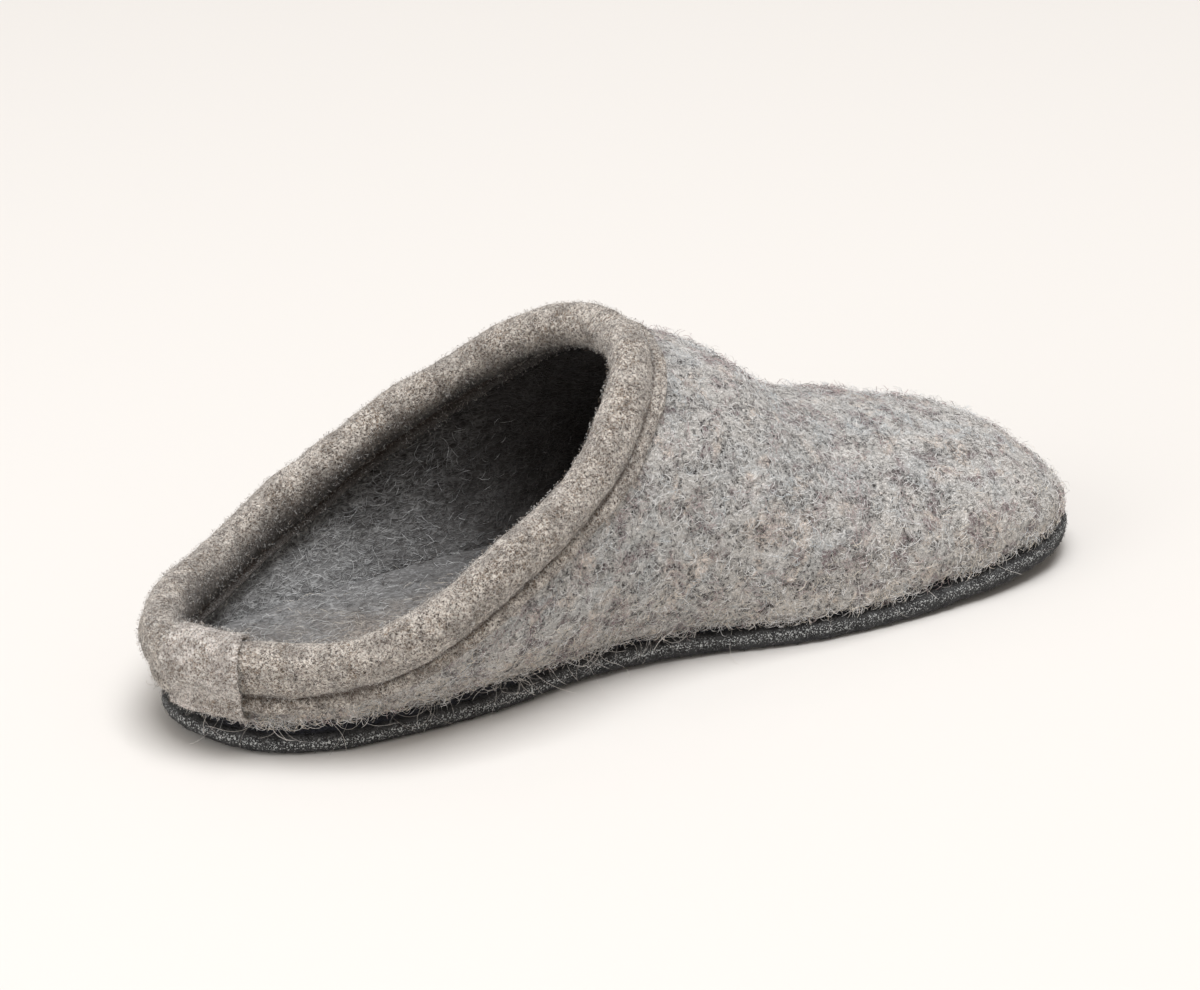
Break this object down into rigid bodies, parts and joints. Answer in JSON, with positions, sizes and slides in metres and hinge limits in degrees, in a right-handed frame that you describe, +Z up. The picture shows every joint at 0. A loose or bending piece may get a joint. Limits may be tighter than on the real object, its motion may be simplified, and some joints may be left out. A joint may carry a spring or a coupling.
{
  "type": "felt slipper",
  "caption": "Left backed slipper of boiled wool felt with a hollow upper, a padded collar roll, a thin dark layered sole and a loose insole.",
  "frame": {"origin": "on the floor, below the middle of the outer box", "axes": "+X from heel to toe, +Y to the foot's outer side, which is to the left, +Z up"},
  "size_m": [0.291, 0.1102, 0.0931],
  "materials": {
    "outsole": "matt charcoal latex and felt with light flecks",
    "midsole": "matt near-black felt",
    "insole": "brushed grey-brown felt",
    "upper": "mottled grey boiled wool felt with loose fibres",
    "collar_binding": "fine grainy taupe wool over padding",
    "heel_tab": "fine grainy taupe wool"
  },
  "bodies": {
    "root": {"outsole": "outsole", "midsole": "midsole", "insole": "insole", "upper": "upper", "collar_binding": "collar_binding", "heel_tab": "heel_tab"}
  },
  "joints": []
}
